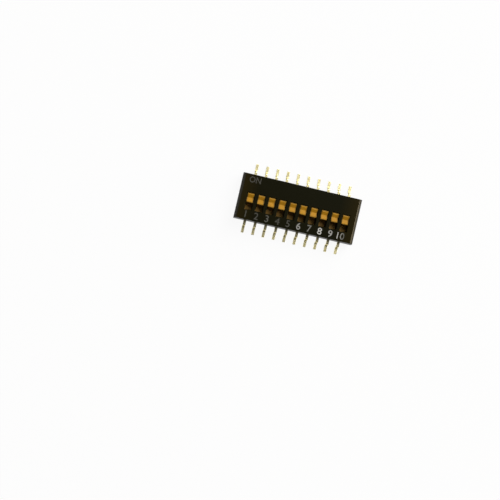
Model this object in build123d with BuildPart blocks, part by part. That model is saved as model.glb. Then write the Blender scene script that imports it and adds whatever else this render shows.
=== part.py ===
from build123d import *
from math import cos, radians, tan
import os

# Ten position slide switch for surface mounting, in millimetres.
# X runs along the row of levers, Y towards the ON side, Z up from the circuit board.

# Row of positions
positions = 10
pitch = 1.27
end_margin = 1.435

# Housing: base below the terminals, cover above them
seat_gap = 0.10
part_line = 1.075
cover_height = 1.425
housing_width = 5.50
cover_draft = 0.08
base_draft = 0.04
top_edge_radius = 0.07
end_bevel_width = 0.34
end_bevel_height = 0.36
base_edge_break = 0.05
roof_thickness = 0.48

# Round recess in the underside of the base
recess_diameter = 2.35
recess_depth = 0.12
recess_edge_break = 0.06

# Pegs that hold the cover on the base, one at each end
peg_diameter = 0.50
peg_height = 0.70
peg_edge_break = 0.08
peg_end_distance = 0.45
peg_clearance = 0.02
peg_hole_spare = 0.08

# Slots and knobs
travel = 0.82
knob_width = 0.80
knob_length = 1.12
knob_below_roof = 0.08
knob_edge_break = 0.045
slot_clearance = 0.035
slot_edge_break = 0.04
slot_offset_y = -0.49

# Stylus notch across the top of each knob
notch_width = 0.76
notch_floor = 0.08
notch_depth = 0.18

# Carriage under the cover, one piece with its knob, and the skirt that closes the open part of the slot
carriage_width = 1.00
carriage_tail = 1.30
carriage_clearance = 0.035
roof_clearance = 0.015
floor_clearance = 0.03
carriage_end_wall = 0.14
carriage_edge_break = 0.04
skirt_thickness = 0.14
skirt_overlap = 0.05
pocket_clearance = 0.03

# Moving contact, a thin bow spring in the tail of the carriage
spring_thickness = 0.08
spring_width = 0.50
spring_height = 0.46
spring_foot_distance = 0.52
spring_flank_angle = 48
spring_tip_run = 0.12
spring_bend_radius = 0.13
contact_gap = 0.01

# Terminals: the leads run inside the base and rise at their inner ends to flat pads in its floor
terminal_width = 0.32
terminal_thickness = 0.15
terminal_span = 8.35
terminal_bend_radius = 0.16
shoulder_length = 0.50
leg_slant = 0.12
lead_cover = 0.16
ramp_length = 0.16
pad_width = 0.62
number_pad_overlap = 0.18
on_pad_overlap = 0.32
on_pad_length = 0.85

# Sizes that follow from the ones above
row_length = (positions - 1) * pitch
housing_length = row_length + 2 * end_margin
housing_top = part_line + cover_height
roof_underside = housing_top - roof_thickness
slot_length = knob_length + travel + 2 * slot_clearance
slot_width = knob_width + 2 * slot_clearance
slot_far_y = slot_offset_y + slot_length / 2
slot_near_y = slot_offset_y - slot_length / 2
knob_y = slot_far_y - slot_clearance - knob_length / 2
knob_top = housing_top - knob_below_roof
knob_near_y = knob_y - knob_length / 2
tail_end_y = knob_y + knob_length / 2 + carriage_tail
skirt_near_y = slot_near_y - skirt_overlap
carriage_top = roof_underside - roof_clearance
carriage_bottom = part_line + floor_clearance
channel_width = carriage_width + 2 * carriage_clearance
skirt_top = carriage_bottom + skirt_thickness
channel_near_y = skirt_near_y - travel - carriage_clearance
channel_far_y = tail_end_y + carriage_clearance
channel_length = channel_far_y - channel_near_y
channel_y = (channel_far_y + channel_near_y) / 2
spring_bottom = part_line + contact_gap
spring_tip_y = spring_foot_distance + spring_tip_run
spring_half_length = spring_tip_y + spring_thickness / 2
pocket_roof = spring_bottom + spring_height
pocket_width = spring_width + 2 * pocket_clearance
pocket_length = 2 * (spring_half_length + pocket_clearance)
pocket_y = tail_end_y - carriage_end_wall - pocket_length / 2
pad_middle_z = part_line - terminal_thickness / 2
lead_middle_z = pad_middle_z - lead_cover
foot_middle_z = terminal_thickness / 2
shoulder_end_y = housing_width / 2 + shoulder_length
number_pad_length = travel + 2 * number_pad_overlap
number_pad_end_y = pocket_y - spring_foot_distance + number_pad_overlap
on_pad_end_y = pocket_y + spring_foot_distance - on_pad_overlap
position_x = [(number - (positions - 1) / 2) * pitch for number in range(positions)]

os.makedirs("parts", exist_ok=True)


def place(piece, name):
    """Give a finished piece its name and write it."""
    piece.label = name
    export_step(piece, f"parts/{name}.step")


# Terminals: gull-wing leads, each one piece with its pad
terminals = []
for side_name, side, pad_end_y, pad_length in (
    ("on", 1, on_pad_end_y, on_pad_length),
    ("number", -1, number_pad_end_y, number_pad_length),
):
    pad_start_y = pad_end_y + side * pad_length
    for number, x in enumerate(position_x, start=1):
        with BuildPart() as terminal:
            with BuildSketch(Plane.YZ.offset(x)):
                with BuildLine():
                    FilletPolyline(
                        (pad_end_y, pad_middle_z),
                        (pad_start_y, pad_middle_z),
                        (pad_start_y + side * ramp_length, lead_middle_z),
                        (side * shoulder_end_y, lead_middle_z),
                        (side * (shoulder_end_y + leg_slant), foot_middle_z),
                        (side * terminal_span / 2, foot_middle_z),
                        radius=(0, 0, terminal_bend_radius, terminal_bend_radius),
                    )
                trace(line_width=terminal_thickness)
            extrude(amount=terminal_width / 2, both=True)
            with BuildSketch(Plane.XY.offset(part_line)):
                with Locations((x, (pad_start_y + pad_end_y) / 2)):
                    Rectangle(pad_width, pad_length)
            extrude(amount=-terminal_thickness)
        place(terminal.part, f"{side_name}_terminal_{number}")
        terminals.append(terminal.part)

# Base: a slab moulded round the terminals, with two pegs for the cover
peg_x = housing_length / 2 - peg_end_distance
with BuildPart() as base:
    with BuildSketch(Plane.YZ):
        with BuildLine():
            Polyline(
                (-housing_width / 2, part_line),
                (-housing_width / 2 + base_draft, seat_gap),
                (housing_width / 2 - base_draft, seat_gap),
                (housing_width / 2, part_line),
                close=True,
            )
        make_face()
    extrude(amount=housing_length / 2, both=True)
    chamfer(base.faces().sort_by(Axis.Z)[0].edges(), length=base_edge_break)
    with BuildSketch(Plane.XY.offset(seat_gap)):
        Circle(recess_diameter / 2)
    extrude(amount=recess_depth, mode=Mode.SUBTRACT)
    recess_rim = base.edges().filter_by(GeomType.CIRCLE).sort_by(Axis.Z)[0]
    chamfer(recess_rim, length=recess_edge_break)
    with BuildSketch(Plane.XY.offset(part_line)):
        with GridLocations(2 * peg_x, 0, 2, 1):
            Circle(peg_diameter / 2)
    extrude(amount=peg_height)
    chamfer(base.faces().group_by(Axis.Z)[-1].edges(), length=peg_edge_break)
    add(terminals, mode=Mode.SUBTRACT)
place(base.part, "base")

# Cover: a lid with a channel and a slot for each slider
with BuildPart() as cover:
    with BuildSketch(Plane.YZ):
        with BuildLine():
            Polyline(
                (-housing_width / 2, part_line),
                (housing_width / 2, part_line),
                (housing_width / 2 - cover_draft, housing_top),
                (-housing_width / 2 + cover_draft, housing_top),
                close=True,
            )
        make_face()
    extrude(amount=housing_length / 2, both=True)
    top_face = cover.faces().sort_by(Axis.Z)[-1]
    end_edges = top_face.edges().filter_by(Axis.Y)
    for end_edge in end_edges:
        chamfer(end_edge, length=end_bevel_width, length2=end_bevel_height, reference=top_face)
    fillet(cover.faces().sort_by(Axis.Z)[-1].edges().filter_by(Axis.X), radius=top_edge_radius)
    with BuildSketch(Plane.XY.offset(part_line)):
        with Locations(*[(x, channel_y) for x in position_x]):
            Rectangle(channel_width, channel_length)
    extrude(amount=roof_underside - part_line, mode=Mode.SUBTRACT)
    with BuildSketch(Plane.XY.offset(roof_underside)):
        with Locations(*[(x, slot_offset_y) for x in position_x]):
            Rectangle(slot_width, slot_length)
    extrude(amount=roof_thickness, mode=Mode.SUBTRACT)
    slot_rims = cover.faces().sort_by(Axis.Z)[-1].inner_wires()
    chamfer([edge for rim in slot_rims for edge in rim.edges()], length=slot_edge_break)
    with BuildSketch(Plane.XY.offset(part_line)):
        with GridLocations(2 * peg_x, 0, 2, 1):
            Circle(peg_diameter / 2 + peg_clearance)
    extrude(amount=peg_height + peg_hole_spare, mode=Mode.SUBTRACT)
place(cover.part, "cover")

# Sliders: a carriage with a skirt under the roof, and the orange knob that stands up in the slot
for number, x in enumerate(position_x, start=1):
    with BuildPart() as slider:
        with BuildSketch(Plane.YZ.offset(x)):
            with BuildLine():
                Polyline(
                    (skirt_near_y, carriage_bottom),
                    (tail_end_y, carriage_bottom),
                    (tail_end_y, carriage_top),
                    (knob_near_y, carriage_top),
                    (knob_near_y, skirt_top),
                    (skirt_near_y, skirt_top),
                    close=True,
                )
            make_face()
        extrude(amount=carriage_width / 2, both=True)
        chamfer(slider.edges().filter_by(Axis.Z), length=carriage_edge_break)
        with BuildSketch(Plane.XY.offset(carriage_top)):
            with Locations((x, knob_y)):
                Rectangle(knob_width, knob_length)
        knob_extrusion = extrude(amount=knob_top - carriage_top)
        chamfer(knob_extrusion.edges().filter_by(Axis.Z), length=knob_edge_break)
        chamfer(slider.faces().sort_by(Axis.Z)[-1].edges(), length=knob_edge_break)
        with BuildSketch(Plane.YZ.offset(x)):
            with BuildLine():
                Polyline(
                    (knob_y - notch_width / 2, knob_top),
                    (knob_y - notch_floor / 2, knob_top - notch_depth),
                    (knob_y + notch_floor / 2, knob_top - notch_depth),
                    (knob_y + notch_width / 2, knob_top),
                    close=True,
                )
            make_face()
        extrude(amount=knob_width, both=True, mode=Mode.SUBTRACT)
        with BuildSketch(Plane.XY.offset(carriage_bottom)):
            with Locations((x, pocket_y)):
                Rectangle(pocket_width, pocket_length)
        extrude(amount=pocket_roof - carriage_bottom, mode=Mode.SUBTRACT)
    place(slider.part, f"slider_{number}")

# Moving contacts: bow springs that bridge the two pads of a position
spring_low_z = spring_bottom + spring_thickness / 2
spring_high_z = pocket_roof - spring_thickness / 2
foot_corner_z = spring_low_z - spring_bend_radius * (1 / cos(radians(spring_flank_angle)) - 1)
crown_half = spring_foot_distance - (spring_high_z - foot_corner_z) / tan(radians(spring_flank_angle))
tip_z = foot_corner_z + spring_tip_run * tan(radians(spring_flank_angle))
for number, x in enumerate(position_x, start=1):
    with BuildPart() as contact:
        with BuildSketch(Plane.YZ.offset(x)):
            with BuildLine():
                FilletPolyline(
                    (pocket_y - spring_tip_y, tip_z),
                    (pocket_y - spring_foot_distance, foot_corner_z),
                    (pocket_y - crown_half, spring_high_z),
                    (pocket_y + crown_half, spring_high_z),
                    (pocket_y + spring_foot_distance, foot_corner_z),
                    (pocket_y + spring_tip_y, tip_z),
                    radius=(spring_bend_radius, 0, 0, spring_bend_radius),
                )
            trace(line_width=spring_thickness)
        extrude(amount=spring_width / 2, both=True)
    place(contact.part, f"moving_contact_{number}")
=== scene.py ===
import math

import bmesh
import bpy
from mathutils import Euler, Matrix, Vector


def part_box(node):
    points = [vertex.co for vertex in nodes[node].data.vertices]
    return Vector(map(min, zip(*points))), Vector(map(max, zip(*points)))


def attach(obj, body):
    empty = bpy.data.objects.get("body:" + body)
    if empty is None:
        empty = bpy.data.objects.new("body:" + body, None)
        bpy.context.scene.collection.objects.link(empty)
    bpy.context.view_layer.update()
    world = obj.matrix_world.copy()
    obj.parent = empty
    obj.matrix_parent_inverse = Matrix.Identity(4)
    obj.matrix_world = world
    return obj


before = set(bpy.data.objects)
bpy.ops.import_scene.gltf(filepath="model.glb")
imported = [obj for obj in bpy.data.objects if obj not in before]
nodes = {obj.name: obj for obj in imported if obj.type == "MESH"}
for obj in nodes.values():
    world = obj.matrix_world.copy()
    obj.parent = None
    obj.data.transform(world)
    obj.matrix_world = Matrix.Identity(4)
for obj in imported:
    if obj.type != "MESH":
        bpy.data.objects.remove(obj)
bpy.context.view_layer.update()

mm = 0.001
positions = range(1, 11)


class Wire:  # a node socket that takes part in ordinary sums
    def __init__(self, finish, socket):
        self.finish = finish
        self.socket = socket

    def calc(self, operation, first, second=0):
        return self.finish.node("ShaderNodeMath", {"operation": operation}, {0: first, 1: second})

    def __add__(self, other):
        return self.calc("ADD", self, other)

    def __radd__(self, other):
        return self.calc("ADD", other, self)

    def __sub__(self, other):
        return self.calc("SUBTRACT", self, other)

    def __rsub__(self, other):
        return self.calc("SUBTRACT", other, self)

    def __mul__(self, other):
        return self.calc("MULTIPLY", self, other)

    def __rmul__(self, other):
        return self.calc("MULTIPLY", other, self)

    def __gt__(self, other):
        return self.calc("GREATER_THAN", self, other)

    def __lt__(self, other):
        return self.calc("LESS_THAN", self, other)

    def __abs__(self):
        return self.calc("ABSOLUTE", self)

    def orMore(self, other):  # the larger of the two
        return self.calc("MAXIMUM", self, other)

    def fold(self, width):  # runs up to width and back to 0, over and over
        return self.calc("PINGPONG", self, width)


class Finish:  # the nodes of one procedural material, or of the world
    def __init__(self, owner):
        self.material = bpy.data.materials.new(owner) if isinstance(owner, str) else owner
        self.material.use_nodes = True
        self.tree = self.material.node_tree
        self.tree.nodes.clear()

    def node(self, kind, settings=None, sockets=None, out=0):
        made = self.tree.nodes.new(kind)
        for key, value in (settings or {}).items():
            setattr(made, key, value)
        for key, value in (sockets or {}).items():
            target = made.inputs[key]
            if isinstance(value, Wire):
                self.tree.links.new(value.socket, target)
            elif target.type == "RGBA":
                target.default_value = (*value, 1)
            else:
                target.default_value = value
        return Wire(self, made.outputs[out])

    def place(self):  # the piece's own coordinates, in metres
        return self.node("ShaderNodeTexCoord", out="Object")

    def axis(self, place, letter):
        return self.node("ShaderNodeSeparateXYZ", None, {0: place}, letter)

    def noise(self, place, size, detail):  # size of a patch in mm, detail is how many layers it has
        return self.node("ShaderNodeTexNoise", None,
                         {"Vector": place, "Scale": 1 / (size * mm), "Detail": detail})

    def clouds(self, place, size):
        return self.noise(place, size, 3)

    def grains(self, place, size):
        return self.noise(place, size, 2)

    def between(self, share, first, second):  # the first colour at 0, the second at 1
        return self.node("ShaderNodeMix", {"data_type": "RGBA"}, {0: share, 6: first, 7: second}, 2)

    def ramp(self, share, low, high):  # 0 below low, 1 above high
        return self.node("ShaderNodeMapRange", None, {0: share, 1: low, 2: high})

    def bump(self, height, depth):  # depth in mm
        return self.node("ShaderNodeBump", None, {"Height": height, "Distance": depth * mm})

    def surface(self, **sockets):
        names = {key.replace("_", " "): value for key, value in sockets.items()}
        self.end(self.node("ShaderNodeBsdfPrincipled", None, names))
        return self.material

    def end(self, shader, kind="Material"):
        last = self.tree.nodes.new("ShaderNodeOutput" + kind)
        self.tree.links.new(shader.socket, last.inputs["Surface"])


def around(middle, noise, spread):  # a value that wanders about its middle
    return middle + (noise - 0.5) * spread


def middleAlongX(name):  # of one frame node, in metres
    lowest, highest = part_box(name)
    return (lowest.x + highest.x) / 2


view = {
    "place": (-8.09, -7.45, 99.09),     # mm
    "turn": (0.325, -2.322, 13.08),     # degrees about X, Y and Z
    "lens": 59.76,                      # mm
    "sensor": 36,                       # mm
    "reach": (1, 10000),                # mm, the nearest and farthest that it sees
}


def makeCamera():
    lens = bpy.data.cameras.new("camera")
    lens.lens = view["lens"]
    lens.sensor_width = view["sensor"]
    lens.clip_start, lens.clip_end = [distance * mm for distance in view["reach"]]
    camera = bpy.data.objects.new("camera", lens)
    camera.location = Vector(view["place"]) * mm
    camera.rotation_euler = Euler([math.radians(turn) for turn in view["turn"]])
    bpy.context.scene.collection.objects.link(camera)
    bpy.context.scene.camera = camera


makeCamera()
print("camera ready")

studio = {
    "floorSize": 600,                   # mm
    "floorWhite": (0.90, 0.90, 0.90),
    "floorGlow": 0.93,                  # share of plain white that the camera sees
    "overhead": 0.12,                   # level of the dark ceiling
    "horizon": 1.0,                     # level of the white walls
    "bandTop": (0.03, 0.20),            # height in the sky where white turns to dark
    "key": {"place": (220, 330, 450), "size": (420, 560), "power": 4.05},
    "fill": {"place": (380, 90, 57), "size": (160, 100), "power": 0.65, "colour": (1, 0.82, 0.50)},
}


def makeLamp(name, place, size, power, colour=(1, 1, 1)):  # place and size in mm
    light = bpy.data.lights.new(name, "AREA")
    light.shape = "RECTANGLE"
    light.size = size[0] * mm
    light.size_y = size[1] * mm
    light.energy = power
    light.color = colour
    lamp = bpy.data.objects.new(name, light)
    lamp.location = Vector(place) * mm
    lamp.rotation_euler = (-lamp.location).to_track_quat("-Z", "Y").to_euler()
    bpy.context.scene.collection.objects.link(lamp)


def makeSky():  # plain white to the camera, white walls and a dark ceiling to the object
    world = bpy.data.worlds.new("studio")
    bpy.context.scene.world = world
    sky = Finish(world)
    height = sky.axis(sky.node("ShaderNodeTexCoord", out="Generated"), "Z")
    dark = sky.ramp(height, *studio["bandTop"])
    level = studio["horizon"] + dark * (studio["overhead"] - studio["horizon"])
    seen = sky.node("ShaderNodeLightPath", out="Is Camera Ray")
    level = seen + (1 - seen) * level
    sky.end(sky.node("ShaderNodeBackground", None, {"Color": (1, 1, 1), "Strength": level}), "World")


def makeFloor():  # nearly white to the camera, and it still takes the object's shadow
    mesh = bpy.data.meshes.new("floor")
    shape = bmesh.new()
    bmesh.ops.create_grid(shape, x_segments=1, y_segments=1, size=studio["floorSize"] / 2 * mm)
    shape.to_mesh(mesh)
    shape.free()
    floor = bpy.data.objects.new("floor", mesh)
    bpy.context.scene.collection.objects.link(floor)
    look = Finish("pale_floor")
    seen, mirrored, through = [look.node("ShaderNodeLightPath", out=f"Is {ray} Ray")
                               for ray in ("Camera", "Glossy", "Transmission")]
    matt = look.node("ShaderNodeBsdfDiffuse", None, {"Color": studio["floorWhite"]})
    glow = look.node("ShaderNodeEmission", None, {"Color": (1, 1, 1), "Strength": 1.0})
    share = (seen + mirrored + through) * studio["floorGlow"]
    look.end(look.node("ShaderNodeMixShader", None, {0: share, 1: matt, 2: glow}))
    mesh.materials.append(look.material)


def makeStudio():
    bpy.context.scene.view_settings.view_transform = "Standard"
    makeSky()
    for name in ("key", "fill"):
        makeLamp(name, **studio[name])
    makeFloor()


makeStudio()
print("studio ready")

coverLook = {
    "black": (0.0058, 0.0055, 0.0008),
    "worn": (0.0100, 0.0090, 0.0020),
    "mottle": 0.4,                      # how strongly patches and grain change black to worn
    "brown": (0.0210, 0.0140, 0.0012),
    "brownShare": 0.8,
    "brownFrom": (4.8, 6.9),            # mm from the middle, where the top turns browner
    "side": (0.019, 0.015, 0.004),      # long sides and bevelled ends: painted light, lighter and warmer than the top where the light catches them
    "endsFrom": 6.45,                   # mm from the middle: past this lie the bevelled ends
    "wallSlope": 0.056,                 # how far the long sides lean in for each mm of height
    "wallSkin": 0.02,                   # mm of the long sides that count as their surface
    "edge": 0.02,                       # mm below the top, where the smooth faces start
    "roughness": 0.42,                  # textured top
    "spread": 0.2,                      # how far the roughness wanders
    "gloss": 0.04,
    "polish": 0.24,                     # roughness of the smooth sides and bevels
    "endSheen": 0.50,                   # gloss of the bevelled ends
    "sideSheen": 0.2,                   # gloss of the long sides
    "cloud": 1.6,                       # mm, size of the patches
    "grain": 0.06,                      # mm, spark-eroded mould texture
    "grainDepth": 0.004,                # mm
}


def coverPlastic():
    look = Finish("cover_plastic")
    place = look.place()
    cloud = look.clouds(place, coverLook["cloud"])
    grain = look.grains(place, coverLook["grain"])
    x, y, z = [look.axis(place, letter) for letter in "XYZ"]
    lowest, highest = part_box("cover")
    wall = highest.y - (z - lowest.z) * coverLook["wallSlope"]
    side = abs(y) > wall - coverLook["wallSkin"] * mm
    end = (abs(x) > coverLook["endsFrom"] * mm) * (1 - side)
    below = look.ramp(highest.z - z, 0, coverLook["edge"] * mm)
    brown = look.ramp(abs(x), *[distance * mm for distance in coverLook["brownFrom"]])
    matt = look.between((cloud + grain) * coverLook["mottle"], coverLook["black"], coverLook["worn"])
    matt = look.between(brown * coverLook["brownShare"], matt, coverLook["brown"])
    return look.surface(
        # painted light: the long sides and bevelled ends get the lighter, warmer side colour
        Base_Color=look.between((end + side) * below, matt, coverLook["side"]),
        Roughness=around(coverLook["roughness"], grain, coverLook["spread"]),
        Specular_IOR_Level=coverLook["gloss"],
        Coat_Weight=(end * coverLook["endSheen"] + side * coverLook["sideSheen"]) * below,
        Coat_Roughness=coverLook["polish"],
        Normal=look.bump(grain, coverLook["grainDepth"]))


baseLook = {
    "black": (0.017, 0.020, 0.021),
    "pale": (0.026, 0.029, 0.030),
    "mottle": 0.6,
    "recess": (0.008, 0.010, 0.011),
    "recessRadius": 1.18,               # mm
    "recessHeights": (0.06, 0.18),      # mm above the underside, between which its floor lies
    "roughness": 0.40,
    "spread": 0.2,
    "gloss": 0.2,
    "cloud": 1.2,                       # mm
    "grain": 0.08,                      # mm
    "grainDepth": 0.005,                # mm
}


def basePlastic():
    look = Finish("base_plastic")
    place = look.place()
    cloud = look.clouds(place, baseLook["cloud"])
    grain = look.grains(place, baseLook["grain"])
    x, y, z = [look.axis(place, letter) for letter in "XYZ"]
    low, high = [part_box("base")[0].z + height * mm for height in baseLook["recessHeights"]]
    middle = (x * x + y * y) < (baseLook["recessRadius"] * mm) ** 2
    recess = middle * (z > low) * (z < high)
    matt = look.between(cloud * baseLook["mottle"], baseLook["black"], baseLook["pale"])
    return look.surface(
        Base_Color=look.between(recess, matt, baseLook["recess"]),
        Roughness=around(baseLook["roughness"], grain, baseLook["spread"]),
        Specular_IOR_Level=baseLook["gloss"],
        Normal=look.bump(grain, baseLook["grainDepth"]))


orangeLook = {
    "deep": (0.45, 0.205, 0.007),
    "bright": (0.56, 0.275, 0.013),
    "shade": (0.080, 0.065, 0.022),     # painted shade: darkens the knobs' rims and the skirts deep in the slots
    "rim": 0.80,                        # how strongly painted shade darkens the knobs' rims
    "rimWidth": 0.13,                   # mm
    "slotShade": (0.02, 0.58),               # share of painted shade on the skirt deep in the slot, at the knob and at the far end of the skirt
    "knobPlace": -0.08,                 # mm, middle of the knobs along Y
    "knobSize": (0.80, 1.12),           # mm
    "skirtLength": 0.80,                # mm
    "slotDepth": 0.45,                  # mm below the top of the cover, where the painted shade of the slots starts
    "roughness": 0.42,
    "spread": 0.15,
    "gloss": 0.2,
    "cloud": 0.9,                       # mm
    "grain": 0.10,                      # mm
    "grainDepth": 0.004,                # mm
}


def orangePlastic():
    look = Finish("orange_plastic")
    place = look.place()
    cloud = look.clouds(place, orangeLook["cloud"])
    grain = look.grains(place, orangeLook["grain"])
    x, y, z = [look.axis(place, letter) for letter in "XYZ"]
    first, second = [middleAlongX(name) for name in ("slider_1", "slider_2")]
    across = (x - first).fold((second - first) / 2)    # from the middle of the nearest knob
    along = abs(y - orangeLook["knobPlace"] * mm)
    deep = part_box("cover")[1].z - z > orangeLook["slotDepth"] * mm
    halfWide, halfLong = [size / 2 * mm for size in orangeLook["knobSize"]]
    rimWidth = orangeLook["rimWidth"] * mm
    # painted shade: the knobs' rims, along X and at their ends above the slot depth, are darkened
    sides = look.ramp(across, halfWide - rimWidth, halfWide)
    ends = look.ramp(along, halfLong - rimWidth, halfLong) * (1 - deep)
    # painted shade: the skirt deep in the slot darkens from the knob toward its far end
    nearest, farthest = orangeLook["slotShade"]
    run = look.ramp(along, halfLong, halfLong + orangeLook["skirtLength"] * mm)
    slotShade = deep * (nearest + run * (farthest - nearest))
    shade = (sides.orMore(ends) * orangeLook["rim"]).orMore(slotShade)
    plain = look.between(cloud, orangeLook["deep"], orangeLook["bright"])
    return look.surface(
        Base_Color=look.between(shade, plain, orangeLook["shade"]),
        Roughness=around(orangeLook["roughness"], grain, orangeLook["spread"]),
        Specular_IOR_Level=orangeLook["gloss"],
        Normal=look.bump(grain, orangeLook["grainDepth"]))


goldLook = {
    "yellow": (0.80, 0.685, 0.325),
    "pale": (0.90, 0.825, 0.48),
    "roughness": 0.30,
    "spread": 0.1,
    "cloud": 0.5,                       # mm
    "grain": 0.05,                      # mm
    "grainDepth": 0.0006,               # mm
}


def goldPlate(name):
    look = Finish(name)
    place = look.place()
    cloud = look.clouds(place, goldLook["cloud"])
    grain = look.grains(place, goldLook["grain"])
    return look.surface(
        Base_Color=look.between(cloud, goldLook["yellow"], goldLook["pale"]),
        Metallic=1.0,
        Roughness=around(goldLook["roughness"], cloud, goldLook["spread"]),
        Normal=look.bump(grain, goldLook["grainDepth"]))


edges = {
    "width": {"cover": 0.02, "base": 0.02, "slider": 0.02, "terminal": 0.012, "contact": 0.008},   # mm
    "segments": 2,
    "sharperThan": 25,                  # degrees: only these edges are softened
    "weld": 0.0005,                     # mm, gap that is closed between triangles
}


def dress(name, material, width):
    piece = nodes[name]
    piece.data.materials.clear()
    piece.data.materials.append(material)
    weld = piece.modifiers.new("weld", "WELD")
    weld.merge_threshold = edges["weld"] * mm
    edge = piece.modifiers.new("soft_edges", "BEVEL")
    edge.width = width * mm
    edge.segments = edges["segments"]
    edge.limit_method = "ANGLE"
    edge.angle_limit = math.radians(edges["sharperThan"])
    edge.use_clamp_overlap = True


def dressNodes():
    gold = goldPlate("gold_plate")
    contactGold = goldPlate("contact_gold")
    orange = orangePlastic()
    width = edges["width"]
    dress("cover", coverPlastic(), width["cover"])
    dress("base", basePlastic(), width["base"])
    for number in positions:
        dress(f"on_terminal_{number}", gold, width["terminal"])
        dress(f"number_terminal_{number}", gold, width["terminal"])
        dress(f"slider_{number}", orange, width["slider"])
        dress(f"moving_contact_{number}", contactGold, width["contact"])


dressNodes()
print("frame nodes dressed")

marks = {
    "onPlace": (-5.62, 2.05),           # mm, middle of the word
    "onHeight": 0.72,                   # mm
    "onWidth": 1.37,                    # mm
    "numberY": -2.04,                   # mm, middle of the numbers
    "numberHeight": 0.80,               # mm
    "numberShift": -0.15,               # mm along X, from the middle of the lever
    "weight": 0.008,                    # how much bolder than the plain letters, as a share of their size
    "curveSteps": 4,                    # pieces in each round stretch of a letter
    "raised": 0.012,                    # mm above the cover
    "sunk": 0.01,                       # mm into the cover
    "inkAndGlint": {"ON": 0.05, "1": 0.05, "2": 0.06, "3": 0.10, "4": 0.05, "5": 0.055,
            "6": 0.38, "7": 0.20, "8": 0.72, "9": 0.44, "10": 0.50},    # level of each mark between faint and full: the marks are real print, and the differences between them are painted glint
    "glintFalloff": {"10": 0.15},               # share of the painted glint left at the right of an uneven one
    "faint": (0.030, 0.027, 0.016),
    "full": (0.80, 0.79, 0.74),
    "patchy": (0.6, 1.4),               # share of its ink at the thinnest and thickest spots
    "roughness": 0.35,
    "spread": 0.2,
    "gloss": 0.2,
    "grain": 0.08,                      # mm
}


def markInk():
    look = Finish("mark_ink_and_glint")
    grain = look.grains(look.place(), marks["grain"])
    thinnest, thickest = marks["patchy"]
    # painted glint: the per-point level lifts each mark from faint toward full
    strength = look.node("ShaderNodeAttribute", {"attribute_name": "inkAndGlint"}, out="Fac")
    strength = strength * (thinnest + grain * (thickest - thinnest))
    return look.surface(
        Base_Color=look.between(strength, marks["faint"], marks["full"]),
        Roughness=around(marks["roughness"], grain, marks["spread"]),
        Specular_IOR_Level=marks["gloss"])


def letterMesh(name, text):  # the text as a mesh one unit thick, half of it on each side of Z = 0
    curve = bpy.data.curves.new(name, "FONT")
    curve.body = text
    curve.size = 1
    curve.extrude = 0.5
    curve.offset = marks["weight"]
    curve.resolution_u = marks["curveSteps"]
    word = bpy.data.objects.new(name, curve)
    bpy.context.scene.collection.objects.link(word)
    bpy.context.view_layer.update()
    mesh = bpy.data.meshes.new_from_object(word.evaluated_get(bpy.context.evaluated_depsgraph_get()))
    bpy.data.objects.remove(word)
    mesh.name = name
    return mesh


def span(mesh, axis):  # lowest and highest place along X or Y
    places = [vertex.co[axis] for vertex in mesh.vertices]
    return min(places), max(places)


def printInk(mesh, text):  # painted glint: how bright each point of the mark is, as an attribute
    left, right = span(mesh, 0)
    full = marks["inkAndGlint"][text]
    loss = 1 - marks["glintFalloff"].get(text, 1)
    inkAndGlint = [full * (1 - loss * (vertex.co.x - left) / (right - left)) for vertex in mesh.vertices]
    mesh.attributes.new("inkAndGlint", "FLOAT", "POINT").data.foreach_set("value", inkAndGlint)


def makeMark(name, text, middle, height, material, width=None):  # middle, height and width in mm
    mesh = letterMesh(name, text)
    left, right = span(mesh, 0)
    bottom, top = span(mesh, 1)
    tall = height * mm / (top - bottom)
    wide = width * mm / (right - left) if width else tall
    thick = (marks["raised"] + marks["sunk"]) * mm
    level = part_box("cover")[1].z + (marks["raised"] - marks["sunk"]) / 2 * mm
    mesh.transform(Matrix.Translation((-(right + left) / 2, -(top + bottom) / 2, 0)))
    mesh.transform(Matrix.Diagonal((wide, tall, thick, 1)))
    mesh.transform(Matrix.Translation((middle[0] * mm, middle[1] * mm, level)))
    mesh.materials.clear()
    mesh.materials.append(material)
    printInk(mesh, text)
    piece = bpy.data.objects.new(name, mesh)
    bpy.context.scene.collection.objects.link(piece)
    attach(piece, "housing")


def makeMarks():
    inkAndGlint = markInk()
    makeMark("mark_on", "ON", marks["onPlace"], marks["onHeight"], inkAndGlint, marks["onWidth"])
    for number in positions:
        place = (middleAlongX(f"slider_{number}") / mm + marks["numberShift"], marks["numberY"])
        makeMark(f"mark_{number}", str(number), place, marks["numberHeight"], inkAndGlint)


makeMarks()
print("marks ready")
